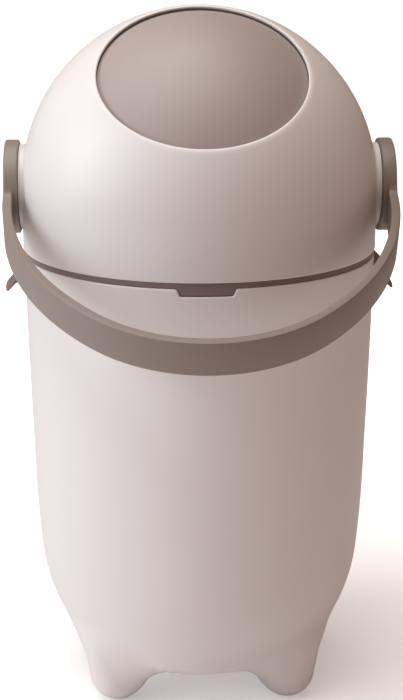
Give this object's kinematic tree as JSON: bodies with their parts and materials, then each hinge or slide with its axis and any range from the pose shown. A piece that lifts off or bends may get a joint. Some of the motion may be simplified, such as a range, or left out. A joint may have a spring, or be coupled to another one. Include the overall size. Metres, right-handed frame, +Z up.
{
  "type": "nappy bin",
  "caption": "Round nappy bin on moulded feet with a domed head: a big strap handle turns a hollow ball in the hatch, and the head tilts back on a rear hinge.",
  "frame": {"origin": "on the floor under the middle of the whole object's outline seen from above, which is a little in front of the bucket's axis because the handle reaches forward", "axes": "+Z up, the front with the hatch and the hanging handle faces -Y, +X to the right of the bin seen from behind it"},
  "size_m": [0.333, 0.3934, 0.5933],
  "materials": {
    "shell": "glossy white moulding",
    "taupe": "satin taupe moulding",
    "dark_taupe": "satin darker taupe moulding",
    "seal": "soft matt grey",
    "pad": "soft matt grey",
    "bush": "slippery cream plastic",
    "steel": "plain"
  },
  "bodies": {
    "base": {"bucket": "shell", "foot_pads": "pad", "side_grip_left": "dark_taupe", "side_grip_right": "dark_taupe", "bag_ring": "taupe", "hinge_pin": "steel"},
    "head": {"dome_shell": "shell", "base_ring": "dark_taupe", "hatch_seal": "seal", "ball_seal": "seal", "rim_seal": "seal", "bush_left": "bush", "bush_right": "bush", "base_screws": "steel"},
    "rotor": {"handle": "taupe", "axle_left": "bush", "axle_right": "bush", "cup_shell": "taupe", "cup_collar": "taupe", "hub_screws": "steel", "hub_cap_left": "taupe", "hub_cap_right": "taupe"}
  },
  "joints": [
    {"name": "tilt_head", "type": "hinge", "parent": "base", "child": "head", "pos_m": [0, 0.19145, 0.3905], "axis": [-1, 0, 0], "range_deg": [0, 65]},
    {"name": "turn_handle", "type": "hinge", "parent": "head", "child": "rotor", "pos_m": [0, 0.03445, 0.443], "axis": [-1, 0, 0], "range_deg": [0, 144]}
  ]
}
